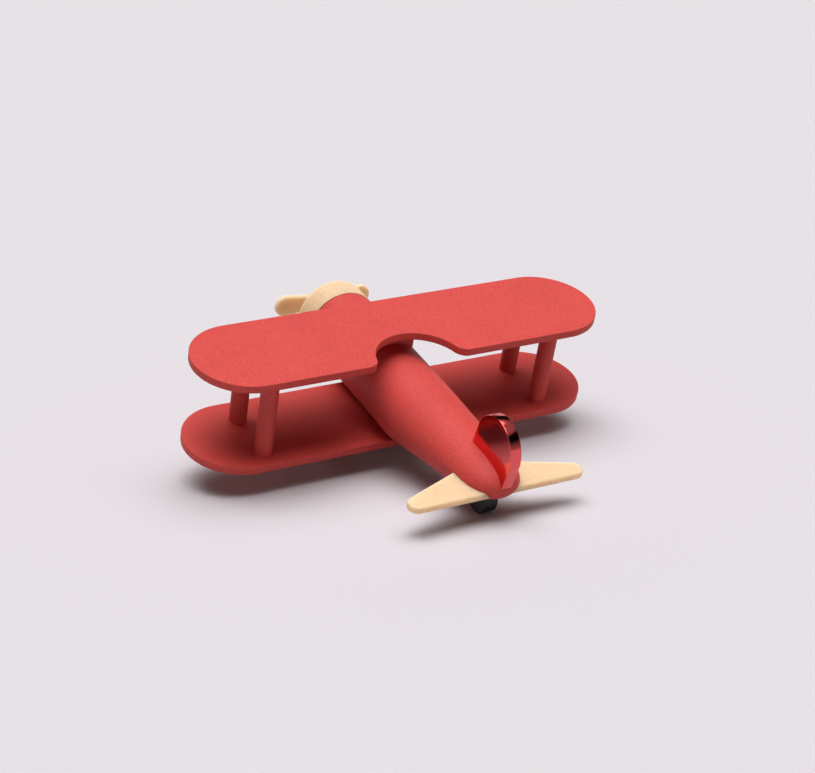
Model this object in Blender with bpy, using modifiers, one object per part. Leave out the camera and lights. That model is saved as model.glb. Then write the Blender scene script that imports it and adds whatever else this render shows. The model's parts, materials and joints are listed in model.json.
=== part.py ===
"""A wooden toy biplane that stands on its wheels, nose up, as it parks.

All pieces are laid out in the airframe's own frame and then tilted together. In that frame
X runs across the wings (port is +X), the nose points to -Y, Z is square to the wings, and
the origin is the middle of the upper wing's top face.
"""
import math

import bmesh
import bpy
from mathutils import Matrix

MM = 0.001
GAP = 0.3 * MM

# Parking attitude and tail wheel
PARK_ANGLE = math.radians(16.0)
TAIL_WHEEL_RADIUS = 9.05 * MM
TAIL_WHEEL_WIDTH = 7.65 * MM
TAIL_WHEEL_Y = 99.0 * MM
TAIL_WHEEL_Z = -39.9 * MM
TAIL_PIN_RADIUS = 1.0 * MM
TAIL_SLOT_SIDE_CLEARANCE = 0.3 * MM
TAIL_SLOT_END_CLEARANCE = 0.8 * MM
TAIL_CHEEK_THICKNESS = 1.2 * MM
TAIL_CHEEK_LENGTH = 4.6 * MM
TAIL_CHEEK_DROP = 2.0 * MM
TAIL_CHEEK_HEIGHT = 8.0 * MM

# Wings and struts
WING_HALF_SPAN = 120.0 * MM
WING_HALF_CHORD = 29.2 * MM
WING_THICKNESS = 4.25 * MM
WING_EASED_EDGE = 0.2 * MM
LOWER_WING_TOP = -50.7 * MM
UPPER_WING_SHIFT = 0.4 * MM
NOTCH_RADIUS = 24.15 * MM
NOTCH_CORNER_RADIUS = 7.2 * MM
NOTCH_X = 3.4 * MM
STRUT_RADIUS = 4.8 * MM
STRUT_X = 84.65 * MM
STRUT_SHIFT = -0.35 * MM
STRUT_FRONT_Y = -13.3 * MM
STRUT_REAR_Y = 18.2 * MM

# Fuselage: a dowel in front, a flattened taper behind
BODY_RADIUS = 20.65 * MM
BODY_AXIS_Z = -34.3 * MM
BODY_FRONT_Y = -60.8 * MM
BODY_BEND_Y = 28.4 * MM
BODY_END_Y = 117.7 * MM
BODY_END_ROUNDING = 21.5 * MM
BODY_END_FULLNESS = 2.4
TAIL_NARROWING = 0.0652
TAIL_FLATTENING = 0.1228
TAIL_RISE = 0.1068
BODY_FRONT_CHAMFER = 0.6 * MM

# Block that carries the upper wing
PYLON_HALF_WIDTH = 13.5 * MM
PYLON_REAR_Y = -5.5 * MM
PYLON_LENGTH = 19.2 * MM

# Nose cap, propeller and its peg
NOSE_RADIUS = 20.7 * MM
NOSE_LENGTH = 20.9 * MM
NOSE_DOME_DEPTH = 10.2 * MM
PROPELLER_HALF_SPAN = 29.9 * MM
PROPELLER_THICKNESS = 3.2 * MM
PROPELLER_ROOT_HALF_CHORD = 4.3 * MM
PROPELLER_TIP_RADIUS = 6.4 * MM
PROPELLER_BOSS_RADIUS = 7.0 * MM
PROPELLER_REST_TURN = math.radians(0.4)
PROPELLER_HUB_Z = -33.0 * MM
PROPELLER_CLEARANCE = 1.6 * MM
PEG_RADIUS = 3.0 * MM
PEG_HEAD_RADIUS = 5.5 * MM
PEG_HEAD_LENGTH = 3.38 * MM
PEG_DEPTH = 14.0 * MM

# Tailplane and fin
TAILPLANE_HALF_SPAN = 51.0 * MM
TAILPLANE_TOP = -26.15 * MM
TAILPLANE_THICKNESS = 4.2 * MM
TAILPLANE_REAR_Y = 114.55 * MM
TAILPLANE_APEX_Y = 86.95 * MM
TAILPLANE_SWEEP = 0.37
TAILPLANE_TIP_RADIUS = 5.15 * MM
TAILPLANE_EASED_EDGE = 1.2 * MM
FIN_HEAD_RADIUS = 16.3 * MM
FIN_HEAD_Y = 104.5 * MM
FIN_HEAD_Z = -6.05 * MM
FIN_LEAN = math.radians(12.3)
FIN_ROOT_Z = -25.8 * MM
FIN_THICKNESS = 6.1 * MM
FIN_EASED_EDGE = 0.3 * MM

# Main wheels on their turning axle, and the block that carries it
MAIN_WHEEL_RADIUS = 14.0 * MM
MAIN_WHEEL_WIDTH = 9.0 * MM
MAIN_WHEEL_X = 29.0 * MM
MAIN_WHEEL_Y = -31.0 * MM
AXLE_RADIUS = 2.5 * MM
AXLE_OVERHANG = 2.0 * MM
CARRIER_HALF_WIDTH = 7.0 * MM
CARRIER_TOP_HALF_LENGTH = 7.0 * MM
CARRIER_FOOT_RADIUS = 5.5 * MM
WHEEL_SHOULDER = 2.2 * MM
TAIL_WHEEL_SHOULDER = 0.6 * MM

# Facets
BODY_SIDES = 56
WHEEL_SIDES = 40
DOWEL_SIDES = 28
ARC_STEPS = 20
SMALL_ARC_STEPS = 7

RED = ("red_paint", (0.76, 0.085, 0.07, 1.0), 0.55)
GLOSSY_RED = ("glossy_red_paint", (0.45, 0.03, 0.03, 1.0), 0.12)
BARE_WOOD = ("bare_wood", (0.86, 0.62, 0.36, 1.0), 0.65)
BLACK = ("black_rubber", (0.02, 0.02, 0.02, 1.0), 0.6)
STEEL = ("blackened_steel", (0.03, 0.03, 0.03, 1.0), 0.4)

TO_NOSE = Matrix.Rotation(math.radians(90.0), 4, "X")
TO_SIDE = Matrix.Rotation(math.radians(90.0), 4, "Y")
FLAT_TO_SIDE = Matrix(((0, 0, 1, 0), (1, 0, 0, 0), (0, 1, 0, 0), (0, 0, 0, 1)))


def clear_scene():
    """Start from an empty scene."""
    for item in list(bpy.data.objects):
        bpy.data.objects.remove(item, do_unlink=True)


def make_collection(name):
    """A collection linked to the scene."""
    collection = bpy.data.collections.new(name)
    bpy.context.scene.collection.children.link(collection)
    return collection


def finish_material(finish):
    """The Principled material of a (name, colour, roughness) finish."""
    name, colour, roughness = finish
    material = bpy.data.materials.get(name)
    if material is None:
        material = bpy.data.materials.new(name)
        material.use_nodes = True
        shader = material.node_tree.nodes["Principled BSDF"]
        shader.inputs["Base Color"].default_value = colour
        shader.inputs["Roughness"].default_value = roughness
        shader.inputs["Metallic"].default_value = 1.0 if finish is STEEL else 0.0
    return material


def arc(centre, radius, start, end, steps):
    """Points on an arc, both ends included; angles in radians."""
    points = []
    for step in range(steps + 1):
        angle = start + (end - start) * step / steps
        points.append((centre[0] + radius * math.cos(angle), centre[1] + radius * math.sin(angle)))
    return points


def tidy_mesh(mesh):
    """Weld loose caps and face every side outwards."""
    work = bmesh.new()
    work.from_mesh(mesh)
    bmesh.ops.remove_doubles(work, verts=work.verts, dist=1e-6)
    bmesh.ops.recalc_face_normals(work, faces=work.faces)
    work.to_mesh(mesh)
    work.free()
    mesh.shade_smooth()
    mesh.set_sharp_from_angle(angle=math.radians(30.0))
    return mesh


def evaluated_mesh(source):
    """The mesh that an object's curve or modifiers give; the object itself is removed."""
    bpy.context.scene.collection.objects.link(source)
    bpy.context.view_layer.update()
    graph = bpy.context.evaluated_depsgraph_get()
    mesh = bpy.data.meshes.new_from_object(source.evaluated_get(graph))
    bpy.data.objects.remove(source, do_unlink=True)
    return tidy_mesh(mesh)


def flat_mesh(name, outline, thickness, top):
    """A plank: a closed outline in the XY plane, filled and extruded down from its top."""
    curve = bpy.data.curves.new(name, "CURVE")
    curve.dimensions = "2D"
    curve.fill_mode = "BOTH"
    curve.extrude = thickness / 2
    spline = curve.splines.new("POLY")
    spline.points.add(len(outline) - 1)
    for point, place in zip(spline.points, outline):
        point.co = (place[0], place[1], 0.0, 1.0)
    spline.use_cyclic_u = True
    mesh = evaluated_mesh(bpy.data.objects.new(name, curve))
    mesh.transform(Matrix.Translation((0.0, 0.0, top - thickness / 2)))
    return mesh


def turned_mesh(name, profile, sides, closed=False):
    """A turned solid about Z: its (radius, height) profile runs down the outer side."""
    rows = [(radius, 0.0, height) for radius, height in profile]
    edges = [(index, index + 1) for index in range(len(rows) - 1)]
    if closed:
        edges.append((len(rows) - 1, 0))
    mesh = bpy.data.meshes.new(name + "_profile")
    mesh.from_pydata(rows, edges, [])
    blank = bpy.data.objects.new(name, mesh)
    screw = blank.modifiers.new("Turn", "SCREW")
    screw.steps = sides
    screw.render_steps = sides
    screw.use_merge_vertices = True
    screw.merge_threshold = 1e-6
    return evaluated_mesh(blank)


def box_mesh(name, low, high):
    """A box between two corners, from a unit cube."""
    work = bmesh.new()
    bmesh.ops.create_cube(work, size=1.0)
    size = [high[axis] - low[axis] for axis in range(3)]
    middle = [(high[axis] + low[axis]) / 2 for axis in range(3)]
    bmesh.ops.scale(work, verts=work.verts, vec=size)
    bmesh.ops.translate(work, verts=work.verts, vec=middle)
    mesh = bpy.data.meshes.new(name)
    work.to_mesh(mesh)
    work.free()
    return mesh


class Toy:
    """The toy's collections, its tilted airframe empty, and ways to add pieces to it."""

    def __init__(self):
        self.pieces = make_collection("toy_biplane")
        self.cutters = make_collection("cutters")
        self.airframe = bpy.data.objects.new("airframe_tilt", None)
        self.airframe.rotation_euler.x = -PARK_ANGLE
        self.pieces.objects.link(self.airframe)

    def add(self, name, mesh, finish, place=(0.0, 0.0, 0.0)):
        """A named piece at a place in the airframe's frame."""
        piece = bpy.data.objects.new(name, mesh)
        mesh.materials.clear()
        mesh.materials.append(finish_material(finish))
        piece.location = place
        piece.parent = self.airframe
        self.pieces.objects.link(piece)
        return piece

    def cut(self, piece, name, mesh):
        """Take a cutter's shape out of a piece."""
        cutter = bpy.data.objects.get(name)
        if cutter is None:
            cutter = bpy.data.objects.new(name, mesh)
            cutter.parent = self.airframe
            cutter.hide_render = True
            cutter.display_type = "WIRE"
            self.cutters.objects.link(cutter)
        boolean = piece.modifiers.new(name, "BOOLEAN")
        boolean.operation = "DIFFERENCE"
        boolean.solver = "EXACT"
        boolean.object = cutter


def ease_edges(piece, width):
    """Round a piece's sharp edges a little."""
    bevel = piece.modifiers.new("Eased edges", "BEVEL")
    bevel.width = width
    bevel.segments = 2
    bevel.limit_method = "ANGLE"
    bevel.angle_limit = math.radians(40.0)


def wing_outline(grow=0.0):
    """A plank with straight sides and round ends."""
    reach = WING_HALF_SPAN - WING_HALF_CHORD
    quarter = math.pi / 2
    port = arc((reach, 0.0), WING_HALF_CHORD + grow, -quarter, quarter, ARC_STEPS)
    starboard = arc((-reach, 0.0), WING_HALF_CHORD + grow, quarter, 3 * quarter, ARC_STEPS)
    return port + starboard


def notched_wing_outline():
    """The upper wing: a round notch in its rear edge, with rounded corners."""
    reach = WING_HALF_SPAN - WING_HALF_CHORD
    quarter = math.pi / 2
    corner_y = WING_HALF_CHORD - NOTCH_CORNER_RADIUS
    corner_x = math.sqrt((NOTCH_RADIUS + NOTCH_CORNER_RADIUS) ** 2 - NOTCH_CORNER_RADIUS ** 2)
    tilt = math.atan2(NOTCH_CORNER_RADIUS, corner_x)
    port_corner = (NOTCH_X + corner_x, corner_y)
    starboard_corner = (NOTCH_X - corner_x, corner_y)
    middle = (NOTCH_X, WING_HALF_CHORD)
    outline = arc((reach, 0.0), WING_HALF_CHORD, -quarter, quarter, ARC_STEPS)
    outline += arc(port_corner, NOTCH_CORNER_RADIUS, quarter, math.pi - tilt, SMALL_ARC_STEPS)
    outline += arc(middle, NOTCH_RADIUS, -tilt, tilt - math.pi, ARC_STEPS)[1:-1]
    outline += arc(starboard_corner, NOTCH_CORNER_RADIUS, tilt, quarter, SMALL_ARC_STEPS)
    outline += arc((-reach, 0.0), WING_HALF_CHORD, quarter, 3 * quarter, ARC_STEPS)
    return outline


def tailplane_outline(grow=0.0):
    """Straight rear edge, swept front edges, round tips."""
    tip_radius = TAILPLANE_TIP_RADIUS + grow
    tip = (TAILPLANE_HALF_SPAN - TAILPLANE_TIP_RADIUS, TAILPLANE_REAR_Y - TAILPLANE_TIP_RADIUS)
    sweep = math.atan(TAILPLANE_SWEEP)
    quarter = math.pi / 2
    port = arc(tip, tip_radius, sweep - quarter, quarter, 2 * SMALL_ARC_STEPS)
    starboard = [(-x, y) for x, y in reversed(port)]
    return port + starboard + [(0.0, TAILPLANE_APEX_Y - grow)]


def fin_outline(grow=0.0):
    """A leaning round-headed plate, cut off level at its root; points are (y, z) pairs."""
    head = (FIN_HEAD_Y, FIN_HEAD_Z)
    outline = arc(head, FIN_HEAD_RADIUS + grow, -FIN_LEAN, math.pi - FIN_LEAN, ARC_STEPS)
    root_z = FIN_ROOT_Z - grow
    root = []
    for y, z in (outline[-1], outline[0]):
        root.append((y - (z - root_z) * math.tan(FIN_LEAN), root_z))
    return outline + root


def body_blank(grow=0.0):
    """The fuselage dowel before its tail is shaved: a cylinder with one end rounded to a full oval."""
    radius = BODY_RADIUS + grow
    rounding_start = BODY_END_Y - BODY_END_ROUNDING
    profile = [(0.0, -BODY_FRONT_Y), (radius - BODY_FRONT_CHAMFER, -BODY_FRONT_Y)]
    profile += [(radius, -BODY_FRONT_Y - BODY_FRONT_CHAMFER), (radius, -BODY_BEND_Y)]
    for share in (0.33, 0.66):
        profile.append((radius, -BODY_BEND_Y - share * (rounding_start - BODY_BEND_Y)))
    power = 2.0 / BODY_END_FULLNESS
    for x, y in arc((0.0, 0.0), 1.0, 0.0, math.pi / 2, ARC_STEPS // 2):
        profile.append((radius * max(0.0, x) ** power, -rounding_start - BODY_END_ROUNDING * y ** power))
    profile[-1] = (0.0, profile[-1][1])
    mesh = turned_mesh("fuselage", profile, BODY_SIDES)
    mesh.transform(TO_NOSE)
    return mesh


def shave_tail(mesh):
    """Behind the bend the section narrows and flattens as its middle rises, in even tapers."""
    for vertex in mesh.vertices:
        behind = max(0.0, vertex.co.y - BODY_BEND_Y)
        vertex.co.x *= 1.0 - TAIL_NARROWING * behind / BODY_RADIUS
        vertex.co.z *= 1.0 - TAIL_FLATTENING * behind / BODY_RADIUS
        vertex.co.z += BODY_AXIS_Z + TAIL_RISE * behind
    return mesh


def wheel_profile(radius, width, bore, shoulder):
    """A closed ring profile: flat sides, rounded shoulders, straight bore."""
    half = width / 2
    top = arc((radius - shoulder, half - shoulder), shoulder, math.pi / 2, 0.0, SMALL_ARC_STEPS // 2)
    bottom = [(x, -y) for x, y in reversed(top)]
    return [(bore, half)] + top + bottom + [(bore, -half)]


def rounded_dowel(radius, low, high, edge):
    """A dowel's profile from top to bottom, with small chamfers."""
    return [(0.0, high), (radius - edge, high), (radius, high - edge),
            (radius, low + edge), (radius - edge, low), (0.0, low)]


def add_wings(toy):
    """Both wings, their four struts and the block under the upper wing."""
    board = flat_mesh("upper_wing", notched_wing_outline(), WING_THICKNESS, 0.0)
    upper = toy.add("upper_wing", board, RED, (0.0, UPPER_WING_SHIFT, 0.0))
    ease_edges(upper, WING_EASED_EDGE)
    lower = toy.add("lower_wing", flat_mesh("lower_wing", wing_outline(), WING_THICKNESS, LOWER_WING_TOP), RED)
    ease_edges(lower, WING_EASED_EDGE)
    low = LOWER_WING_TOP + GAP
    high = -WING_THICKNESS - GAP
    strut = turned_mesh("strut", rounded_dowel(STRUT_RADIUS, low, high, GAP), DOWEL_SIDES)
    for side, x in (("port", STRUT_X + STRUT_SHIFT), ("starboard", STRUT_SHIFT - STRUT_X)):
        for row, y in (("front", STRUT_FRONT_Y), ("rear", STRUT_REAR_Y)):
            toy.add("strut_%s_%s" % (side, row), strut, RED, (x, y, 0.0))
    pylon = box_mesh("wing_pylon", (-PYLON_HALF_WIDTH, PYLON_REAR_Y - PYLON_LENGTH, BODY_AXIS_Z),
                     (PYLON_HALF_WIDTH, PYLON_REAR_Y, high))
    pylon_piece = toy.add("wing_pylon", pylon, RED)
    toy.cut(pylon_piece, "body_clearance", shave_tail(body_blank(grow=GAP)))


def add_fuselage(toy):
    """The body with its seats for lower wing, tailplane, fin and tail wheel."""
    body = toy.add("fuselage", shave_tail(body_blank()), RED)
    seat_top = LOWER_WING_TOP + GAP
    seat = flat_mesh("wing_seat", wing_outline(grow=GAP), WING_THICKNESS * 3, seat_top)
    toy.cut(body, "wing_seat", seat)
    mortise_depth = TAILPLANE_THICKNESS + 2 * GAP
    mortise = flat_mesh("tailplane_mortise", tailplane_outline(grow=GAP), mortise_depth, TAILPLANE_TOP + GAP)
    toy.cut(body, "tailplane_mortise", mortise)
    groove = flat_mesh("fin_groove", fin_outline(grow=GAP), FIN_THICKNESS + 2 * GAP, FIN_THICKNESS / 2 + GAP)
    groove.transform(FLAT_TO_SIDE)
    toy.cut(body, "fin_groove", groove)
    toy.cut(body, "tail_wheel_slot", tail_wheel_slot())
    toy.cut(body, "tail_cheek_pocket", tail_cheek_pocket())


def tail_wheel_slot():
    """The slot that takes the top of the tail wheel."""
    half = TAIL_WHEEL_WIDTH / 2 + TAIL_SLOT_SIDE_CLEARANCE
    reach = TAIL_WHEEL_RADIUS + TAIL_SLOT_END_CLEARANCE
    return box_mesh("tail_wheel_slot", (-half, TAIL_WHEEL_Y - reach, LOWER_WING_TOP),
                    (half, TAIL_WHEEL_Y + reach, TAIL_WHEEL_Z + reach))


def tail_cheek_pocket():
    """The wider pocket that takes the cheeks of the tail wheel's pin."""
    half = TAIL_WHEEL_WIDTH / 2 + TAIL_SLOT_SIDE_CLEARANCE + TAIL_CHEEK_THICKNESS + GAP
    reach = TAIL_CHEEK_LENGTH / 2 + GAP
    top = TAIL_WHEEL_Z - TAIL_CHEEK_DROP + TAIL_CHEEK_HEIGHT + GAP
    return box_mesh("tail_cheek_pocket", (-half, TAIL_WHEEL_Y - reach, LOWER_WING_TOP),
                    (half, TAIL_WHEEL_Y + reach, top))


def add_tail(toy):
    """Tailplane, fin, tail wheel, and the wheel's pin and cheeks."""
    plank = flat_mesh("tailplane", tailplane_outline(), TAILPLANE_THICKNESS, TAILPLANE_TOP)
    tailplane = toy.add("tailplane", plank, BARE_WOOD)
    ease_edges(tailplane, TAILPLANE_EASED_EDGE)
    toy.cut(tailplane, "tail_wheel_slot", None)
    plate = flat_mesh("fin", fin_outline(), FIN_THICKNESS, FIN_THICKNESS / 2)
    plate.transform(FLAT_TO_SIDE)
    ease_edges(toy.add("fin", plate, GLOSSY_RED), FIN_EASED_EDGE)
    bore = TAIL_PIN_RADIUS + GAP
    wheel = turned_mesh("tail_wheel", wheel_profile(TAIL_WHEEL_RADIUS, TAIL_WHEEL_WIDTH, bore, TAIL_WHEEL_SHOULDER),
                        WHEEL_SIDES, closed=True)
    wheel.transform(TO_SIDE)
    hub = (0.0, TAIL_WHEEL_Y, TAIL_WHEEL_Z)
    toy.add("tail_wheel", wheel, BLACK, hub)
    inner = TAIL_WHEEL_WIDTH / 2 + TAIL_SLOT_SIDE_CLEARANCE
    outer = inner + TAIL_CHEEK_THICKNESS
    half = TAIL_CHEEK_LENGTH / 2
    low = -TAIL_CHEEK_DROP
    high = low + TAIL_CHEEK_HEIGHT
    drill = turned_mesh("pin_drill", [(0.0, outer * 2), (bore, outer * 2), (bore, -outer * 2),
                                      (0.0, -outer * 2)], DOWEL_SIDES)
    drill.transform(Matrix.Translation(hub) @ TO_SIDE)
    cheek = box_mesh("tail_wheel_cheek", (0.0, -half, low), (TAIL_CHEEK_THICKNESS, half, high))
    for side, x in (("port", inner), ("starboard", -outer)):
        cheek_piece = toy.add("tail_wheel_cheek_" + side, cheek, STEEL, (x, hub[1], hub[2]))
        toy.cut(cheek_piece, "pin_drill", drill)
    pin = turned_mesh("tail_wheel_pin", rounded_dowel(TAIL_PIN_RADIUS, -outer, outer, GAP / 2), DOWEL_SIDES)
    pin.transform(TO_SIDE)
    toy.add("tail_wheel_pin", pin, STEEL, hub)


def add_nose(toy):
    """Nose cap, propeller and the peg that it turns on."""
    base = -BODY_FRONT_Y + GAP
    front = base + NOSE_LENGTH
    dome_start = front - NOSE_DOME_DEPTH
    profile = []
    for x, y in reversed(arc((0.0, 0.0), 1.0, 0.0, math.pi / 2, ARC_STEPS // 2)):
        profile.append((NOSE_RADIUS * x, dome_start + NOSE_DOME_DEPTH * y))
    profile[0] = (0.0, front)
    chamfer = BODY_FRONT_CHAMFER
    profile += [(NOSE_RADIUS, base + chamfer), (NOSE_RADIUS - chamfer, base), (0.0, base)]
    cap = turned_mesh("nose_cap", profile, BODY_SIDES)
    cap.transform(Matrix.Translation((0.0, 0.0, BODY_AXIS_Z)) @ TO_NOSE)
    cap_piece = toy.add("nose_cap", cap, BARE_WOOD)
    hub = (0.0, -(front + PROPELLER_CLEARANCE + PROPELLER_THICKNESS / 2), PROPELLER_HUB_Z)
    blade = propeller_mesh()
    toy.add("propeller", blade, BARE_WOOD, hub).rotation_euler.y = -PROPELLER_REST_TURN
    head_base = PROPELLER_THICKNESS / 2 + GAP
    head_top = head_base + PEG_HEAD_LENGTH
    stem_end = head_base - PEG_DEPTH
    peg_profile = [(0.0, head_top)]
    peg_profile += [(PEG_HEAD_RADIUS * x, head_base + PEG_HEAD_LENGTH * y)
                    for x, y in reversed(arc((0.0, 0.0), 1.0, 0.0, math.pi / 2, SMALL_ARC_STEPS)[:-1])]
    peg_profile += [(PEG_RADIUS, head_base), (PEG_RADIUS, stem_end), (0.0, stem_end)]
    peg = turned_mesh("propeller_peg", peg_profile, DOWEL_SIDES)
    peg.transform(TO_NOSE)
    toy.add("propeller_peg", peg, BARE_WOOD, hub)
    bore = PEG_RADIUS + GAP
    deep = PEG_DEPTH * 2
    drill_profile = [(0.0, deep), (bore, deep), (bore, stem_end - GAP), (0.0, stem_end - GAP)]
    drill = turned_mesh("peg_drill", drill_profile, DOWEL_SIDES)
    drill.transform(Matrix.Translation(hub) @ TO_NOSE)
    toy.cut(cap_piece, "peg_drill", drill)


def propeller_outline():
    """Two paddle blades that widen outwards to half-round tips; points are (x, z) pairs."""
    tip_x = PROPELLER_HALF_SPAN - PROPELLER_TIP_RADIUS
    boss = PROPELLER_BOSS_RADIUS
    boss_x = math.sqrt(boss ** 2 - PROPELLER_ROOT_HALF_CHORD ** 2)
    tip = arc((tip_x, 0.0), PROPELLER_TIP_RADIUS, -math.pi / 2, math.pi / 2, 2 * SMALL_ARC_STEPS)
    boss_turn = math.atan2(PROPELLER_ROOT_HALF_CHORD, boss_x)
    boss_top = arc((0.0, 0.0), boss, boss_turn, math.pi - boss_turn, SMALL_ARC_STEPS)
    half = tip + boss_top
    return half + [(-x, -z) for x, z in half]


def propeller_mesh():
    """The propeller about its own hub, with the peg's hole."""
    blade = flat_mesh("propeller", propeller_outline(), PROPELLER_THICKNESS, PROPELLER_THICKNESS / 2)
    work = bpy.data.objects.new("propeller_blank", blade)
    bore = PEG_RADIUS + GAP
    drill_mesh = turned_mesh("hub_drill", [(0.0, bore * 2), (bore, bore * 2), (bore, -bore * 2),
                                           (0.0, -bore * 2)], DOWEL_SIDES)
    drill = bpy.data.objects.new("hub_drill", drill_mesh)
    boolean = work.modifiers.new("Hub hole", "BOOLEAN")
    boolean.operation = "DIFFERENCE"
    boolean.solver = "EXACT"
    boolean.object = drill
    bpy.context.scene.collection.objects.link(drill)
    mesh = evaluated_mesh(work)
    bpy.data.objects.remove(drill, do_unlink=True)
    mesh.transform(TO_NOSE)
    return mesh


def airframe_height():
    """How far the airframe's origin stands above the floor, from the tail wheel's contact."""
    lift = math.sin(PARK_ANGLE) * TAIL_WHEEL_Y - math.cos(PARK_ANGLE) * TAIL_WHEEL_Z
    return TAIL_WHEEL_RADIUS + lift


def main_wheel_height():
    """The main axle's Z in the airframe's frame, where the wheels just meet the floor."""
    drop = MAIN_WHEEL_RADIUS - airframe_height() + math.sin(PARK_ANGLE) * MAIN_WHEEL_Y
    return drop / math.cos(PARK_ANGLE)


def add_undercarriage(toy):
    """The carrier block under the body, the turning axle and the two main wheels."""
    hub = (0.0, MAIN_WHEEL_Y, main_wheel_height())
    foot = arc((hub[1], hub[2]), CARRIER_FOOT_RADIUS, -math.pi, 0.0, ARC_STEPS // 2)
    top = BODY_AXIS_Z - BODY_RADIUS / 2
    outline = foot + [(hub[1] + CARRIER_TOP_HALF_LENGTH, top), (hub[1] - CARRIER_TOP_HALF_LENGTH, top)]
    block = flat_mesh("undercarriage_block", outline, 2 * CARRIER_HALF_WIDTH, CARRIER_HALF_WIDTH)
    block.transform(FLAT_TO_SIDE)
    carrier = toy.add("undercarriage_block", block, RED)
    toy.cut(carrier, "body_clearance", None)
    clearance = flat_mesh("wing_clearance", wing_outline(grow=GAP), WING_THICKNESS + 2 * GAP,
                          LOWER_WING_TOP + GAP)
    toy.cut(carrier, "wing_clearance", clearance)
    bore = AXLE_RADIUS + GAP
    reach = CARRIER_HALF_WIDTH * 2
    drill = turned_mesh("axle_drill", [(0.0, reach), (bore, reach), (bore, -reach), (0.0, -reach)],
                        DOWEL_SIDES)
    drill.transform(Matrix.Translation(hub) @ TO_SIDE)
    toy.cut(carrier, "axle_drill", drill)
    end = MAIN_WHEEL_X + MAIN_WHEEL_WIDTH / 2 + AXLE_OVERHANG
    axle = turned_mesh("main_axle", rounded_dowel(AXLE_RADIUS, -end, end, 2 * GAP), DOWEL_SIDES)
    axle.transform(TO_SIDE)
    toy.add("main_axle", axle, BARE_WOOD, hub)
    wheel = turned_mesh("main_wheel", wheel_profile(MAIN_WHEEL_RADIUS, MAIN_WHEEL_WIDTH, bore, WHEEL_SHOULDER),
                        WHEEL_SIDES, closed=True)
    wheel.transform(TO_SIDE)
    for side, x in (("port", MAIN_WHEEL_X), ("starboard", -MAIN_WHEEL_X)):
        toy.add("main_wheel_" + side, wheel, BLACK, (x, hub[1], hub[2]))


def centre_on_floor(toy):
    """Lift the airframe onto its wheels and centre its length over the origin."""
    toy.airframe.location.z = airframe_height()
    bpy.context.view_layer.update()
    graph = bpy.context.evaluated_depsgraph_get()
    reach = []
    for piece in toy.pieces.objects:
        if piece.type == "MESH":
            shape = piece.evaluated_get(graph).to_mesh()
            reach += [(piece.matrix_world @ vertex.co).y for vertex in shape.vertices]
            piece.evaluated_get(graph).to_mesh_clear()
    toy.airframe.location.y -= (min(reach) + max(reach)) / 2
    bpy.context.view_layer.update()


def main():
    clear_scene()
    toy = Toy()
    add_wings(toy)
    add_fuselage(toy)
    add_tail(toy)
    add_nose(toy)
    add_undercarriage(toy)
    centre_on_floor(toy)


main()
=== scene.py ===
"""Looks, stage and camera for a wooden toy biplane that stands nose up on its wheels.

Every piece is worked out in the airframe's own frame, where X runs across the wings (port is
+X), the nose points to -Y, Z is square to the wings and the origin is the middle of the upper
wing's top face. That frame is then tilted and lifted onto the floor.
"""
import json
import math

import bmesh
import bpy
import numpy as np
from bpy.props import FloatProperty, FloatVectorProperty, PointerProperty
from bpy.types import Operator, Panel, PropertyGroup
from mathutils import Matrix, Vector


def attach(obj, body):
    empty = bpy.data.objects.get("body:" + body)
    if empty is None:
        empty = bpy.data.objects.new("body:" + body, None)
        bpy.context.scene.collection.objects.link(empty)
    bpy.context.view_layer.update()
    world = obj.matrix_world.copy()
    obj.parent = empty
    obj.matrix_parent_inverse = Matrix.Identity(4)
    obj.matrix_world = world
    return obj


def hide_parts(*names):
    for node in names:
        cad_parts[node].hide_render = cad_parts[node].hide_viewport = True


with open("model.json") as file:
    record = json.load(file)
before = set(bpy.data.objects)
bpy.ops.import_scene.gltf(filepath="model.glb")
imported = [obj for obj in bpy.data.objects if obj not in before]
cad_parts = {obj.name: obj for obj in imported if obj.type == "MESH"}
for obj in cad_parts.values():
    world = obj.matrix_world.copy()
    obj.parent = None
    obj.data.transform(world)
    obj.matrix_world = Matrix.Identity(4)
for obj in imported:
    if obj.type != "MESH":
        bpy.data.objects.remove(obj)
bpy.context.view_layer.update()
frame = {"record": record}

bl_info = {
    "name": "Toy biplane",
    "version": (1, 0, 0),
    "blender": (4, 5, 0),
    "location": "3D View > Sidebar > Toy Biplane",
    "description": "Smooth painted surfaces, wood finishes and a studio stage for a toy biplane",
    "category": "Add Mesh",
}

PARK_ANGLE = math.radians(16.0)
PHOTO_WIDTH = 815
QUARTER = math.pi / 2

# Axes in the airframe's frame
ACROSS = (1.0, 0.0, 0.0)
FORWARD = (0.0, -1.0, 0.0)
UPWARD = (0.0, 0.0, 1.0)

# Room between pieces that turn on one another, and the easing of small blocks' edges
TURNING_ROOM = 0.0003
SMALL_EASING = 0.0006

# Tail wheel's hub in the airframe's frame: the joint there ties this frame to the floor
TAIL_HUB = (0.0, 0.0990, -0.0399)


def joint_place(name):
    """Where a joint's axis stands in the world, as an array."""
    for joint in frame["record"]["behaviour"]["joints"]:
        if joint["name"] == name:
            return np.array(joint["pos_m"], dtype=float)
    raise RuntimeError("no joint named " + name)


TILT = np.array([
    [1.0, 0.0, 0.0],
    [0.0, math.cos(PARK_ANGLE), math.sin(PARK_ANGLE)],
    [0.0, -math.sin(PARK_ANGLE), math.cos(PARK_ANGLE)],
])
AIRFRAME_ORIGIN = joint_place("tail_wheel_spin") - TILT @ np.array(TAIL_HUB)


def to_world(points):
    """Airframe points to world points: turned by the parking angle about X, then lifted."""
    return np.asarray(points) @ TILT.T + AIRFRAME_ORIGIN


def to_airframe(point):
    """A world point in the airframe's frame."""
    return (np.asarray(point) - AIRFRAME_ORIGIN) @ TILT


# Settings


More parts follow.
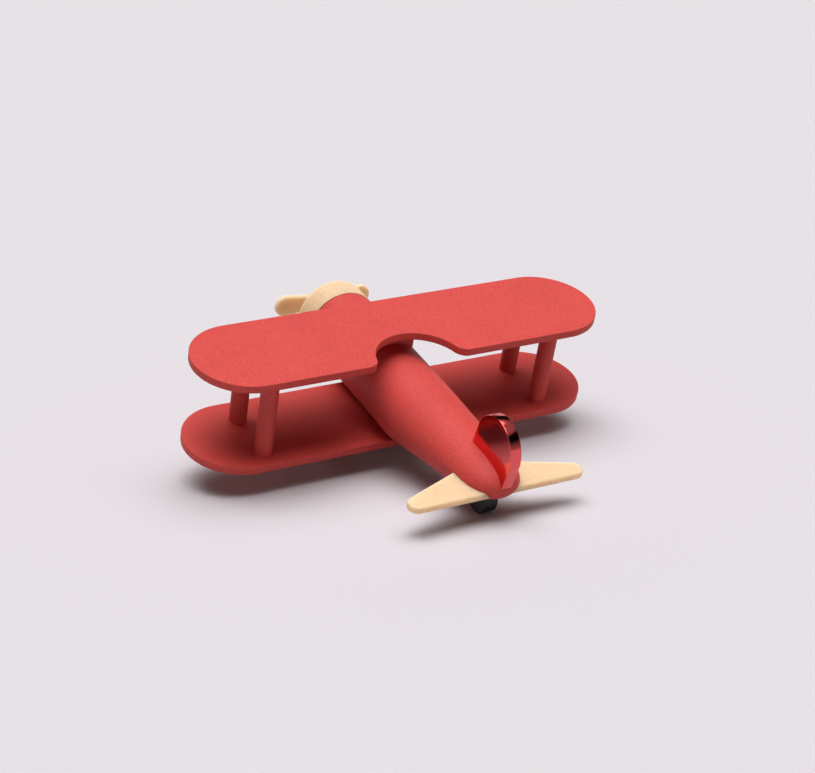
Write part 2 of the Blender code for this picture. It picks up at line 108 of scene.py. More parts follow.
def number(name, description, default, **more):
    """A plain setting, or one with the unit and limits given."""
    return FloatProperty(name=name, description=description, default=default, **more)


def length(name, description, default):
    """A setting in metres."""
    return number(name, description, default, unit="LENGTH")


def factor(name, description, default):
    """A setting from 0 to 1."""
    return number(name, description, default, subtype="FACTOR", min=0.0, max=1.0)


def colour(name, description, default):
    """A colour setting."""
    return FloatVectorProperty(name=name, description=description, default=default, size=3,
                               subtype="COLOR", min=0.0, max=1.0)


class WingSettings(PropertyGroup):
    """Both wings and what holds them apart."""

    half_span: length("Half span", "From the middle to a wing's tip", 0.120)
    half_chord: length("Half chord", "Half a wing's depth, also its tip radius", 0.0292)
    thickness: length("Thickness", "Thickness of the wing board", 0.00425)
    lower_top: length("Lower wing", "Height of the lower wing's top face", -0.0507)
    upper_shift: length("Upper wing shift", "How far aft the upper wing sits", 0.0004)
    eased_edge: length("Eased edge", "Radius along the wings' edges", 0.00020)
    notch_radius: length("Notch radius", "Round notch in the upper wing's rear edge", 0.02415)
    notch_corner: length("Notch corner", "Radius of the notch's two corners", 0.0072)
    notch_x: length("Notch offset", "How far to port the notch is cut", 0.0034)
    strut_radius: length("Strut radius", "Radius of the four struts", 0.0048)
    strut_x: length("Strut spacing", "Half the distance between port and starboard", 0.08465)
    strut_shift: length("Strut shift", "How far to port all four struts stand", -0.00035)
    strut_front: length("Front strut", "Place of the front struts", -0.0133)
    strut_rear: length("Rear strut", "Place of the rear struts", 0.0182)


class BodySettings(PropertyGroup):
    """The fuselage, its nose and its tail."""

    radius: length("Body radius", "Radius of the body in front", 0.02065)
    axis_z: length("Body axis", "Height of the body's axis", -0.0343)
    front_y: length("Body front", "Where the nose cap starts", -0.0596)
    bend_y: length("Bend", "Where the tail starts to narrow", 0.0284)
    end_y: length("Body end", "The rounded end of the tail", 0.1177)
    end_rounding: length("End rounding", "Length of the rounded end", 0.0215)
    end_fullness: number("End fullness", "Power of the end's oval: 2 is an ellipse", 2.4, min=1.0)
    narrowing: number("Narrowing", "Half width lost for each unit of length", 0.0652)
    flattening: number("Flattening", "Half height lost for each unit of length", 0.1228)
    rise: number("Rise", "Lift of the middle for each unit of length", 0.1068)
    front_rounding: length("Front edge", "Rounding of the body's front edge", 0.0002)
    nose_radius: length("Nose radius", "Radius of the nose cap", 0.0207)
    nose_length: length("Nose length", "Length of the nose cap", 0.0220)
    nose_gap: length("Nose gap", "Dark seam between the body and the nose cap", 0.0004)
    nose_dome: length("Nose dome", "Depth of the nose cap's rounded front", 0.0102)
    pylon_half_width: length("Pylon half width", "Half width of the upper wing's block", 0.0135)
    pylon_rear: length("Pylon rear", "Rear face of the upper wing's block", -0.0055)
    pylon_length: length("Pylon length", "Length of the upper wing's block", 0.0192)


class TailSettings(PropertyGroup):
    """Tailplane, fin and tail wheel."""

    half_span: length("Half span", "From the middle to a tailplane tip", 0.0510)
    top_z: length("Tailplane top", "Height of the tailplane's top face", -0.02615)
    thickness: length("Tailplane thickness", "Thickness of the tailplane", 0.0042)
    rear_y: length("Tailplane rear", "Place of the straight rear edge", 0.11455)
    apex_y: length("Tailplane apex", "Where the swept front edges meet", 0.08695)
    sweep: number("Tailplane sweep", "Slope of the front edges", 0.37)
    tip_radius: length("Tip radius", "Radius of the tips' front corners", 0.00515)
    eased_edge: length("Eased edge", "Radius along the tailplane's edges", 0.0012)
    fin_radius: length("Fin radius", "Radius of the fin's round head", 0.01629)
    fin_y: length("Fin place", "Middle of the fin's round head, fore and aft", 0.1045)
    fin_z: length("Fin height", "Middle of the fin's round head, up and down", -0.00605)
    fin_lean: number("Fin lean", "How far the fin leans back", math.radians(12.3), unit="ROTATION")
    fin_root: length("Fin root", "Height of the fin's root inside the body", -0.0258)
    fin_thickness: length("Fin thickness", "Thickness of the fin", 0.0061)
    wheel_radius: length("Wheel radius", "Radius of the tail wheel", 0.00904)
    wheel_width: length("Wheel width", "Width of the tail wheel", 0.00765)
    pin_radius: length("Pin radius", "Radius of the tail wheel's pin", 0.0010)
    slot_clearance: length("Slot clearance", "Room around the wheel in its slot", 0.0003)
    cheek_thickness: length("Cheek thickness", "Thickness of the pin's cheeks", 0.0012)
    cheek_length: length("Cheek length", "Length of the pin's cheeks", 0.0046)
    cheek_drop: length("Cheek drop", "How far the cheeks hang below the pin", 0.0020)
    cheek_height: length("Cheek height", "Height of the cheeks", 0.0080)


class GearSettings(PropertyGroup):
    """Propeller, main wheels and their carrier."""

    blade_half_span: length("Propeller half span", "From the hub to a blade's tip", 0.0299)
    blade_thickness: length("Propeller thickness", "Thickness of the blades", 0.0032)
    root_half_chord: length("Blade root", "Half the blades' depth next to the boss", 0.0043)
    tip_radius: length("Blade tip", "Radius of the blades' half-round tips", 0.0064)
    boss_radius: length("Boss", "Radius of the propeller's round middle", 0.0070)
    rest_turn: number("Propeller turn", "How far the propeller is turned at rest",
                      math.radians(0.4), unit="ROTATION")
    peg_radius: length("Peg radius", "Radius of the propeller's peg", 0.0030)
    peg_head_radius: length("Peg head", "Radius of the peg's round head", 0.0055)
    peg_head_length: length("Peg head length", "Height of the peg's head", 0.0033)
    wheel_radius: length("Wheel radius", "Radius of a main wheel", 0.01399)
    wheel_width: length("Wheel width", "Width of a main wheel", 0.0090)
    wheel_x: length("Track", "Half the distance between the main wheels", 0.0290)
    axle_radius: length("Axle radius", "Radius of the main axle", 0.0025)
    axle_overhang: length("Axle overhang", "How far the axle stands out of a wheel", 0.0020)
    carrier_half_width: length("Carrier half width", "Half the carrier block's width", 0.0070)
    carrier_top: length("Carrier top", "Half the carrier's length where it meets the body", 0.0070)
    carrier_foot: length("Carrier foot", "Radius of the carrier round its axle", 0.0055)


class FinishSettings(PropertyGroup):
    """Colours and surfaces."""

    red: colour("Red paint", "Colour of the painted wood", (0.50, 0.050, 0.042))
    red_roughness: factor("Paint roughness", "Roughness of the red paint", 0.60)
    red_shine: factor("Paint shine", "Strength of the paint's reflections", 0.25)
    fin_red: colour("Polished red", "Colour of the mirror-like fin", (0.765, 0.113, 0.111))
    fin_roughness: factor("Fin roughness", "Roughness of the polished fin", 0.12)
    wood: colour("Bare wood", "Colour of the unpainted wood", (0.63, 0.44, 0.268))
    wood_depth: length("Wood depth", "How far light travels inside the bare wood", 0.0130)
    wood_roughness: factor("Wood roughness", "Roughness of the unpainted wood", 0.65)
    rubber: colour("Wheels", "Colour of the black wheels", (0.008, 0.008, 0.008))
    steel: colour("Black steel", "Colour of the tail wheel's plates and pin", (0.012, 0.012, 0.012))


class StageSettings(PropertyGroup):
    """Floor, lights and camera."""

    floor: colour("Floor", "Colour of the pale floor", (0.490, 0.463, 0.485))
    floor_size: length("Floor size", "Width of the floor", 40.0)
    light_strength: number("Light", "Strength of the soft lamps", 1.03, min=0.0)
    horizon_glow: number("Horizon glow", "Brightness of the room's low walls", 0.40, min=0.0)
    ceiling_glow: number("Ceiling glow", "Brightness of the room's ceiling", 0.35, min=0.0)
    backdrop: colour("Backdrop", "Colour of the room behind the floor", (0.80, 0.76, 0.79))
    camera_place: FloatVectorProperty(name="Camera", description="Where the camera stands",
                                      subtype="TRANSLATION", size=3, default=(0.488675, 0.855266, 0.386921))
    camera_turn: FloatVectorProperty(name="Camera turn", description="The camera's rotation",
                                     subtype="EULER", size=3,
                                     default=(math.radians(70.82837), math.radians(0.01664),
                                              math.radians(150.30716)))
    camera_focal_px: number("Focal length", "Focal length in image widths' pixels", 1957.0)


class ToyBiplaneSettings(PropertyGroup):
    """All of the toy's settings."""

    wings: PointerProperty(type=WingSettings)
    body: PointerProperty(type=BodySettings)
    tail: PointerProperty(type=TailSettings)
    gear: PointerProperty(type=GearSettings)
    finish: PointerProperty(type=FinishSettings)
    stage: PointerProperty(type=StageSettings)


# Surfaces


def arc(centre, radius, start, end, steps):
    """Points centre + radius * (cos a, sin a), with a running evenly from start to end."""
    angle = np.linspace(start, end, steps)
    return np.stack([centre[0] + radius * np.cos(angle), centre[1] + radius * np.sin(angle)], axis=1)


def straight(start, end, steps):
    """Points evenly spaced on a straight line, both ends left out."""
    share = np.linspace(0.0, 1.0, steps + 2)[1:-1, None]
    return np.array(start) * (1.0 - share) + np.array(end) * share


def edge_normals(outline):
    """Outward normals of a closed outline that runs anticlockwise: the chord between a point's
    two neighbours, turned by a quarter."""
    chord = np.roll(outline, -1, axis=0) - np.roll(outline, 1, axis=0)
    return np.stack([chord[:, 1], -chord[:, 0]], axis=1) / np.linalg.norm(chord, axis=1, keepdims=True)


def grid_faces(rows, columns):
    """Quads of a grid of points, as indices, each row of points closed on itself."""
    r, c = np.meshgrid(np.arange(rows - 1), np.arange(columns), indexing="ij")
    here, after = r * columns + c, r * columns + (c + 1) % columns
    return np.stack([here, after, after + columns, here + columns], axis=-1).reshape(-1, 4)


def surface_object(name, points, sharp=50.0):
    """A closed surface from a grid of airframe points: poles and seams merged, faces outwards."""
    mesh = bpy.data.meshes.new(name)
    places = to_world(points.reshape(-1, 3))
    mesh.from_pydata(places.tolist(), [], grid_faces(*points.shape[:2]).tolist())
    work = bmesh.new()
    work.from_mesh(mesh)
    bmesh.ops.remove_doubles(work, verts=work.verts, dist=1e-7)
    bmesh.ops.dissolve_degenerate(work, edges=work.edges, dist=1e-8)
    bmesh.ops.recalc_face_normals(work, faces=work.faces)
    work.to_mesh(mesh)
    work.free()
    mesh.shade_smooth()
    mesh.set_sharp_from_angle(angle=math.radians(sharp))
    piece = bpy.data.objects.new(name, mesh)
    bpy.context.scene.collection.objects.link(piece)
    return piece


def plank_points(outline, spine, thickness, top, edge, across=7, edge_steps=6):
    """A board: each outline point joins its foot on the spine by a straight line over the top
    face, rounds the edge on a quarter circle, drops down the side and returns underneath.
    Point = spine + (outline - edge * normal - spine) * share on the faces, and
    outline - edge * normal * (1 - sin a), top - edge * (1 - cos a) round the edge."""
    normal = edge_normals(outline)
    inset = outline - edge * normal
    share = np.linspace(0.0, 1.0, across)[:, None, None]
    face = spine[None] + (inset - spine)[None] * share
    angle = np.linspace(0.0, QUARTER, edge_steps)[1:]
    ring = inset[None] + edge * np.sin(angle)[:, None, None] * normal[None]
    drop = edge * (1.0 - np.cos(angle))
    upper = np.concatenate([face, ring])
    height = np.concatenate([np.zeros(across), -drop]) + top
    lower = upper[::-1]
    depth = 2.0 * top - thickness - height[::-1]
    flat = np.concatenate([upper, lower])
    level = np.concatenate([height, depth])
    level = np.broadcast_to(level[:, None, None], flat.shape[:2] + (1,))
    return np.concatenate([flat, level], axis=2)


def turned_points(profile, steps, axis, centre):
    """A turned piece: (radius, height) profile points carried round an axis, so that a point is
    centre + height * axis + radius * (cos a * side + sin a * other side)."""
    axis = np.array(axis, dtype=float)
    side = np.array([0.0, 0.0, 1.0]) if abs(axis[2]) < 0.5 else np.array([1.0, 0.0, 0.0])
    other = np.cross(axis, side)
    angle = np.linspace(0.0, 2.0 * math.pi, steps, endpoint=False)
    wheel = np.cos(angle)[:, None] * side + np.sin(angle)[:, None] * other
    radius, height = np.asarray(profile, dtype=float).T
    spread = radius[:, None, None] * wheel[None]
    return np.array(centre) + height[:, None, None] * axis + spread


def rounded_profile(corners, radii, steps=6):
    """An open profile with each corner replaced by a quarter-like round: a curve of the second
    degree from radius before the corner to radius after it, with the corner as its middle handle."""
    corners = np.asarray(corners, dtype=float)
    points = [corners[:1]]
    share = np.linspace(0.0, 1.0, steps)[:, None]
    for before, corner, after, radius in zip(corners[:-2], corners[1:-1], corners[2:], radii):
        back = (before - corner) / max(np.linalg.norm(before - corner), 1e-12)
        ahead = (after - corner) / max(np.linalg.norm(after - corner), 1e-12)
        start, end = corner + back * radius, corner + ahead * radius
        points.append(start * (1 - share) ** 2 + 2 * corner * share * (1 - share) + end * share ** 2)
    points.append(corners[-1:])
    return np.concatenate(points)


def rod_points(radius, half, easing, steps, centre):
    """A round rod across the toy: a rectangle's half with eased corners, turned round X."""
    profile = rounded_profile([(0.0, -half), (radius, -half), (radius, half), (0.0, half)], [easing, easing])
    return turned_points(profile, steps, ACROSS, centre)


def block_points(half_x, low, high, edge, steps=5):
    """A box with rounded edges between low and high (y, z): a rounded outline in the YZ plane
    whose ends draw in on a quarter circle of the edge's radius."""
    corners = [(high[0] - edge, high[1] - edge, 0.0), (low[0] + edge, high[1] - edge, QUARTER),
               (low[0] + edge, low[1] + edge, 2 * QUARTER), (high[0] - edge, low[1] + edge, 3 * QUARTER)]
    outline = np.concatenate([arc((y, z), edge, a, a + QUARTER, steps) for y, z, a in corners])
    middle = np.array([(low[0] + high[0]) / 2, (low[1] + high[1]) / 2])
    spine = np.broadcast_to(middle, outline.shape)
    return plank_points(outline, spine, 2 * half_x, half_x, edge * 0.99)


def stand_up(points):
    """Board points (a, b, height) laid as (height, a, b): a board in the YZ plane."""
    return points[..., [2, 0, 1]]


def cut_piece(piece, shapes):
    """Take closed surfaces, given by their points, out of a piece."""
    cutters = [surface_object("cutter", points) for points in shapes]
    for cutter in cutters:
        boolean = piece.modifiers.new("Cut", "BOOLEAN")
        boolean.operation = "DIFFERENCE"
        boolean.solver = "EXACT"
        boolean.object = cutter
    bpy.context.view_layer.update()
    graph = bpy.context.evaluated_depsgraph_get()
    mesh = bpy.data.meshes.new_from_object(piece.evaluated_get(graph))
    piece.modifiers.clear()
    piece.data = mesh
    mesh.materials.clear()
    mesh.shade_smooth()
    mesh.set_sharp_from_angle(angle=math.radians(35.0))
    for cutter in cutters:
        bpy.data.objects.remove(cutter, do_unlink=True)


# Finishes


def connect(tree, node, **inputs):
    """Links a node's inputs to the sockets given, or sets them to the values given. In an input's
    name _ stands for a space."""
    for name, given in inputs.items():
        socket = node.inputs[name.replace("_", " ")]
        if isinstance(given, bpy.types.NodeSocket):
            tree.links.new(given, socket)
        else:
            socket.default_value = given
    return node


def add_node(tree, kind, **inputs):
    """A new shader node with its inputs."""
    return connect(tree, tree.nodes.new("ShaderNode" + kind), **inputs)


def new_material(name):
    """An empty node material with a Principled shader."""
    material = bpy.data.materials.new(name)
    material.use_nodes = True
    tree = material.node_tree
    tree.nodes.clear()
    shader = add_node(tree, "BsdfPrincipled")
    add_node(tree, "OutputMaterial", Surface=shader.outputs["BSDF"])
    return tree, shader


def airframe_coordinates(tree, along="", squeeze=1.0):
    """Object coordinates turned into the airframe's frame, then squeezed along the grain."""
    place = add_node(tree, "TexCoord").outputs["Object"]
    turned = add_node(tree, "Mapping", Rotation=(PARK_ANGLE, 0.0, 0.0), Vector=place).outputs["Vector"]
    scale = tuple(squeeze if axis == along else 1.0 for axis in "XYZ")
    return add_node(tree, "Mapping", Scale=scale, Vector=turned).outputs["Vector"]


def noise(tree, vector, scale, detail=3.0, rough=0.55, distortion=0.0):
    """A noise texture's grey value."""
    node = add_node(tree, "TexNoise", Vector=vector, Scale=scale, Detail=detail, Roughness=rough,
                    Distortion=distortion)
    return node.outputs["Fac"]


def ramp(tree, value, low, high, tint, dark, light):
    """A tint times dark to times light, as a grey value goes from low to high."""
    node = add_node(tree, "ValToRGB", Fac=value)
    for stop, place, strength in zip(node.color_ramp.elements, (low, high), (dark, light)):
        stop.position = place
        stop.color = (*(channel * strength for channel in tint), 1.0)
    return node.outputs["Color"]


def mix(tree, share, first, second, blend="MIX"):
    """Two colours mixed, the second in this share."""
    node = add_node(tree, "Mix")
    node.data_type = "RGBA"
    node.blend_type = blend
    return connect(tree, node, Factor=share, A=first, B=second).outputs["Result"]


def varied(tree, value, middle, below, above):
    """A number that a grey value moves from below to above a middle."""
    node = add_node(tree, "MapRange", Value=value, To_Min=middle - below, To_Max=middle + above)
    return node.outputs["Result"]


def bump(tree, value, strength, depth, **under):
    """The normal of a bumpy surface from a grey value, with its depth in metres, on top of
    another one's where it's given as Normal."""
    return add_node(tree, "Bump", Height=value, Strength=strength, Distance=depth, **under).outputs["Normal"]


def painted_wood(name, settings, along):
    """Satin red paint over wood: the grain shows faintly as ripples along the piece, with fine
    stipple and slow changes of tone."""
    tree, shader = new_material(name)
    even = airframe_coordinates(tree)
    fibres = airframe_coordinates(tree, along, 0.06)
    tone = ramp(tree, noise(tree, even, 26.0), 0.3, 0.7, settings.red, 0.955, 1.035)
    stipple = ramp(tree, noise(tree, even, 2100.0, detail=1.0), 0.3, 0.7, (1.0, 1.0, 1.0), 0.70, 1.24)
    grain = bump(tree, noise(tree, fibres, 620.0, detail=4.0, rough=0.6, distortion=0.2), 0.18, 0.00012)
    brushed = bump(tree, noise(tree, even, 900.0, detail=2.0), 0.15, 0.00008, Normal=grain)
    connect(tree, shader, Base_Color=mix(tree, 1.0, tone, stipple, "MULTIPLY"),
            Specular_IOR_Level=settings.red_shine, Normal=brushed,
            Roughness=varied(tree, noise(tree, even, 180.0), settings.red_roughness, 0.06, 0.06))


def bare_wood(name, settings, along):
    """Light close-grained wood: thin darker fibres and short pores along the grain, broad soft
    bands and a fine speckle. Light travels a little way inside it."""
    tree, shader = new_material(name)
    wood = settings.wood
    even = airframe_coordinates(tree)
    fibres = airframe_coordinates(tree, along, 0.05)
    pores = airframe_coordinates(tree, along, 0.10)
    pitted = noise(tree, pores, 1900.0, detail=0.0)
    bands = ramp(tree, noise(tree, fibres, 160.0, detail=2.0, distortion=0.6), 0.35, 0.65, wood, 0.94, 1.04)
    fine = ramp(tree, noise(tree, fibres, 1100.0), 0.35, 0.7, wood, 0.90, 1.07)
    spots = ramp(tree, pitted, 0.27, 0.33, wood, 0.55, 1.0)
    stipple = ramp(tree, noise(tree, even, 1900.0, detail=1.0), 0.3, 0.7, wood, 0.60, 1.40)
    rippled = bump(tree, noise(tree, fibres, 1300.0), 0.25, 0.00008)
    grained = mix(tree, 0.5, mix(tree, 0.5, bands, fine), mix(tree, 0.5, stipple, spots))
    connect(tree, shader, Base_Color=grained, Subsurface_Weight=1.0,
            Subsurface_Radius=(1.0, 0.8, 0.7), Subsurface_Scale=settings.wood_depth,
            Roughness=varied(tree, noise(tree, fibres, 700.0), settings.wood_roughness, 0.08, 0.05),
            Normal=bump(tree, pitted, 0.12, 0.00006, Normal=rippled))


def polished_red(name, settings):
    """Mirror-like red lacquer foil: tinted reflections, slightly wavy and unevenly rubbed."""
    tree, shader = new_material(name)
    even = airframe_coordinates(tree)
    connect(tree, shader, Metallic=1.0,
            Base_Color=ramp(tree, noise(tree, even, 90.0), 0.3, 0.7, settings.fin_red, 0.98, 1.01),
            Roughness=varied(tree, noise(tree, even, 240.0), settings.fin_roughness, 0.03, 0.03),
            Normal=bump(tree, noise(tree, even, 1400.0, detail=1.0), 0.05, 0.00004))


def black_rubber(name, settings):
    """Black wheels: near-black, semi-matt, with fine moulding texture and dusty patches."""
    tree, shader = new_material(name)
    even = airframe_coordinates(tree)
    connect(tree, shader,
            Base_Color=ramp(tree, noise(tree, even, 300.0), 0.35, 0.75, settings.rubber, 1.0, 2.2),
            Roughness=varied(tree, noise(tree, even, 500.0), 0.55, 0.07, 0.07),
            Normal=bump(tree, noise(tree, even, 2200.0, detail=2.0), 0.25, 0.00006))


def black_steel(name, settings):
    """Steel with a black finish, rubbed a little brighter in fine streaks."""
    tree, shader = new_material(name)
    streaks = airframe_coordinates(tree, "Y", 0.15)
    even = airframe_coordinates(tree)
    connect(tree, shader, Metallic=0.4,
            Base_Color=ramp(tree, noise(tree, streaks, 1500.0), 0.35, 0.8, settings.steel, 1.0, 2.5),
            Roughness=varied(tree, noise(tree, even, 900.0), 0.48, 0.10, 0.10),
            Normal=bump(tree, noise(tree, streaks, 2600.0), 0.12, 0.00003))


def stage_material(name, tint):
    """A matt sheet of paper-like backdrop, all but even in tone."""
    tree, shader = new_material(name)
    grey = noise(tree, add_node(tree, "TexCoord").outputs["Object"], 900.0, detail=1.0)
    connect(tree, shader, Base_Color=ramp(tree, grey, 0.3, 0.7, tint, 0.985, 1.015),
            Roughness=1.0, Specular_IOR_Level=0.0)
    return bpy.data.materials[name]


def studio_world(backdrop, horizon, ceiling):
    """A dark room with a pale strip round the horizon, which fades out 27 degrees up, and a dimly
    glowing ceiling from about 50 degrees up. Seen directly, the room is as pale as the floor."""
    world = bpy.data.worlds.new("studio_room")
    world.use_nodes = True
    tree = world.node_tree
    tree.nodes.clear()
    direction = add_node(tree, "TexCoord").outputs["Generated"]
    height = add_node(tree, "SeparateXYZ", Vector=direction).outputs["Z"]
    glow = add_node(tree, "ValToRGB", Fac=height)
    stops = ((0.0, horizon), (27.0, 0.0), (45.0, 0.0), (51.0, ceiling))
    while len(glow.color_ramp.elements) < len(stops):
        glow.color_ramp.elements.new(0.5)
    for element, (elevation, strength) in zip(glow.color_ramp.elements, stops):
        element.position = math.sin(math.radians(elevation))
        element.color = (strength, strength, strength, 1.0)
    room = add_node(tree, "Background", Color=glow.outputs["Color"])
    wall = add_node(tree, "Background", Color=(*backdrop, 1.0))
    choice = add_node(tree, "MixShader", Fac=add_node(tree, "LightPath").outputs["Is Camera Ray"])
    tree.links.new(room.outputs["Background"], choice.inputs[1])
    tree.links.new(wall.outputs["Background"], choice.inputs[2])
    add_node(tree, "OutputWorld", Surface=choice.outputs["Shader"])
    return world


GRAINED = {"red_paint": painted_wood, "bare_wood": bare_wood}
PLAIN = {"glossy_red_paint": polished_red, "black_rubber": black_rubber, "blackened_steel": black_steel}


def finish_of(slot, along):
    """A slot's material with its grain along an axis, each made once."""
    make = GRAINED.get(slot) or PLAIN[slot]
    name = make.__name__ + "_" + along.lower()
    if name not in bpy.data.materials:
        settings = bpy.context.scene.toy_biplane.finish
        make(name, settings, *([along] if slot in GRAINED else []))
    return bpy.data.materials[name]


def finish_piece(piece, body, slot, along, *nodes):
    """A finished piece rides its body, takes its slot's material and stands for its nodes."""
    piece.data.materials.clear()
    piece.data.materials.append(finish_of(slot, along))
    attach(piece, body)
    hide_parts(*nodes)


def make_piece(name, points, *facts, sharp=50.0):
    """A surface made and finished in one go; the facts are those of finish_piece."""
    piece = surface_object(name, points, sharp)
    finish_piece(piece, *facts)
    return piece


# Pieces


def wing_outline(s, rear=None, steps=72):
    """A board with half-round ends, anticlockwise from the straight front edge: two straight lines
    half a chord from the middle, joined by half circles. The rear line may be given instead."""
    reach = s.half_span - s.half_chord
    front = straight((-reach, -s.half_chord), (reach, -s.half_chord), 110)
    port = arc((reach, 0.0), s.half_chord, -QUARTER, QUARTER, steps)
    if rear is None:
        rear = straight((reach, s.half_chord), (-reach, s.half_chord), 110)
    starboard = arc((-reach, 0.0), s.half_chord, QUARTER, 3 * QUARTER, steps)
    return np.concatenate([front, port, rear, starboard])


def notched_rear(s):
    """A rear edge with a round notch between two round corners. A corner's circle meets the rear
    edge and the notch's circle from outside, so that the two middles stand notch radius + corner
    radius apart."""
    reach = s.half_span - s.half_chord
    corner_y = s.half_chord - s.notch_corner
    corner_x = math.sqrt((s.notch_radius + s.notch_corner) ** 2 - s.notch_corner ** 2)
    lean = math.atan2(s.notch_corner, corner_x)
    low, high = s.notch_x - corner_x, s.notch_x + corner_x
    bay = arc((s.notch_x, s.half_chord), s.notch_radius, -lean, lean - math.pi, 80)
    return np.concatenate([straight((reach, s.half_chord), (high, s.half_chord), 44),
                           arc((high, corner_y), s.notch_corner, QUARTER, math.pi - lean, 22),
                           bay[1:-1],
                           arc((low, corner_y), s.notch_corner, lean, QUARTER, 22),
                           straight((low, s.half_chord), (-reach, s.half_chord), 44)])


def on_steps(share, steps):
    """Shares from -1 to 1 rounded to equal steps: a board's two sides then meet on the same points."""
    return np.round(np.clip(share, -1.0, 1.0) * steps) / steps


def level_spine(x, y=0.0):
    """Feet (x, y) on a straight line across the toy, with one y for all."""
    return np.stack([x, np.full(len(x), y)], axis=1)


def wing_spine(outline, s):
    """Each outline point's foot on the straight line between the two tips' centres."""
    reach = s.half_span - s.half_chord
    return level_spine(reach * on_steps(outline[:, 0] / reach, 24))


def body_points(s, rings=150, steps=160):
    """The fuselage: rings round the Y axis. Behind the bend, with d the distance from it, the
    half width loses narrowing * d, the half height loses flattening * d and the middle rises by
    rise * d, all in the ratio of the ring's own radius, which follows a quarter of a full oval
    over the rounded end: (length share) ^ fullness + (radius share) ^ fullness = 1."""
    front = s.front_y + s.front_rounding
    rounding = s.end_y - s.end_rounding
    edge = np.linspace(0.0, QUARTER, 7)
    lip_y = front - s.front_rounding * np.cos(edge)
    lip_r = s.radius - s.front_rounding * (1.0 - np.sin(edge))
    long_y = np.linspace(front, rounding, rings)[1:-1]
    turn = np.linspace(0.0, QUARTER, 44)
    power = 2.0 / s.end_fullness
    cap_y = rounding + s.end_rounding * np.sin(turn) ** power
    cap_r = s.radius * np.maximum(0.0, np.cos(turn)) ** power
    cap_r[-1] = 0.0
    y = np.concatenate([[s.front_y], lip_y, long_y, cap_y])
    r = np.concatenate([[0.0], lip_r, np.full(len(long_y), s.radius), cap_r])
    behind = np.maximum(0.0, y - s.bend_y)
    wide = r * (1.0 - s.narrowing * behind / s.radius)
    tall = r * (1.0 - s.flattening * behind / s.radius)
    middle = s.axis_z + s.rise * behind
    angle = np.linspace(0.0, 2.0 * math.pi, steps, endpoint=False)
    x = wide[:, None] * np.cos(angle)[None]
    z = middle[:, None] + tall[:, None] * np.sin(angle)[None]
    return np.stack([x, np.broadcast_to(y[:, None], x.shape), z], axis=2)


def wheel_profile(radius, width, bore, hub_radius, dish):
    """Half a wheel's section as a rounded polygon, from the bore out over the hub, down into the
    dish, over the tread and back on the other side."""
    half = width / 2
    side = [(bore, half), (hub_radius, half), (hub_radius + dish, half - dish),
            (radius - 3.2 * dish, half - dish), (radius - 2.2 * dish, half), (radius, half)]
    other = [(x, -z) for x, z in reversed(side)]
    radii = [dish * 0.3, dish * 0.5, dish * 0.5, dish * 0.3, dish * 0.9]
    return rounded_profile(side + other + [side[0]], radii + radii[::-1] + [dish * 0.2])


class ToyOperator:
    """What all of the toy's operators share."""

    bl_options = {"REGISTER", "UNDO"}

    @property
    def settings(self):
        """The toy's settings in the open scene."""
        return bpy.context.scene.toy_biplane


class TOYBIPLANE_OT_wings(ToyOperator, Operator):
    """Make both wings as boards with eased edges"""

    bl_idname = "toybiplane.wings"
    bl_label = "Wings"

    def execute(self, context):
        s = self.settings.wings
        outline = wing_outline(s, notched_rear(s))
        points = plank_points(outline, wing_spine(outline, s), s.thickness, 0.0, s.eased_edge)
        make_piece("upper_wing_board", points + [0.0, s.upper_shift, 0.0],
                   "airframe", "red_paint", "X", "upper_wing")
        outline = wing_outline(s)
        points = plank_points(outline, wing_spine(outline, s), s.thickness, s.lower_top, s.eased_edge)
        make_piece("lower_wing_board", points, "airframe", "red_paint", "X", "lower_wing")
        return {"FINISHED"}


class TOYBIPLANE_OT_struts(ToyOperator, Operator):
    """Make the four round struts, each with a fine bead of paint where it meets a wing"""

    bl_idname = "toybiplane.struts"
    bl_label = "Struts"

    def execute(self, context):
        s = self.settings.wings
        low, high, bead = s.lower_top, -s.thickness, 0.00015
        turn = np.linspace(0.0, QUARTER, 6)
        flare_r = s.strut_radius + bead * (1.0 - np.sin(turn))
        flare_z = bead * (1.0 - np.cos(turn))
        lower = np.stack([flare_r, low + flare_z], axis=1)
        upper = np.stack([flare_r, high - flare_z], axis=1)[::-1]
        shaft = straight((s.strut_radius, low + bead), (s.strut_radius, high - bead), 20)
        profile = np.concatenate([[(0.0, low)], lower, shaft, upper, [(0.0, high)]])
        for side, x in (("port", s.strut_shift + s.strut_x), ("starboard", s.strut_shift - s.strut_x)):
            for row, y in (("front", s.strut_front), ("rear", s.strut_rear)):
                points = turned_points(profile, 64, UPWARD, (x, y, 0.0))
                make_piece("dowel_%s_%s" % (side, row), points,
                           "airframe", "red_paint", "Z", "strut_%s_%s" % (side, row))
        return {"FINISHED"}


class TOYBIPLANE_OT_fuselage(ToyOperator, Operator):
    """Make the fuselage with its seat for the lower wing and its tail wheel's slot"""

    bl_idname = "toybiplane.fuselage"
    bl_label = "Fuselage"

    def execute(self, context):
        s = self.settings.body
        w = self.settings.wings
        t = self.settings.tail
        body = surface_object("fuselage_body", body_points(s), sharp=60.0)
        outline = wing_outline(w)
        seam = 0.0001
        seat = plank_points(outline, wing_spine(outline, w), w.thickness * 3, w.lower_top + seam, seam)
        half = t.wheel_width / 2 + t.slot_clearance
        end_room = 0.0005
        reach = t.wheel_radius + end_room
        slot = block_points(half, (TAIL_HUB[1] - reach, TAIL_HUB[2] - reach),
                            (TAIL_HUB[1] + reach, TAIL_HUB[2] + reach), SMALL_EASING)
        cut_piece(body, [seat, stand_up(slot)])
        finish_piece(body, "airframe", "red_paint", "Y", "fuselage")
        return {"FINISHED"}


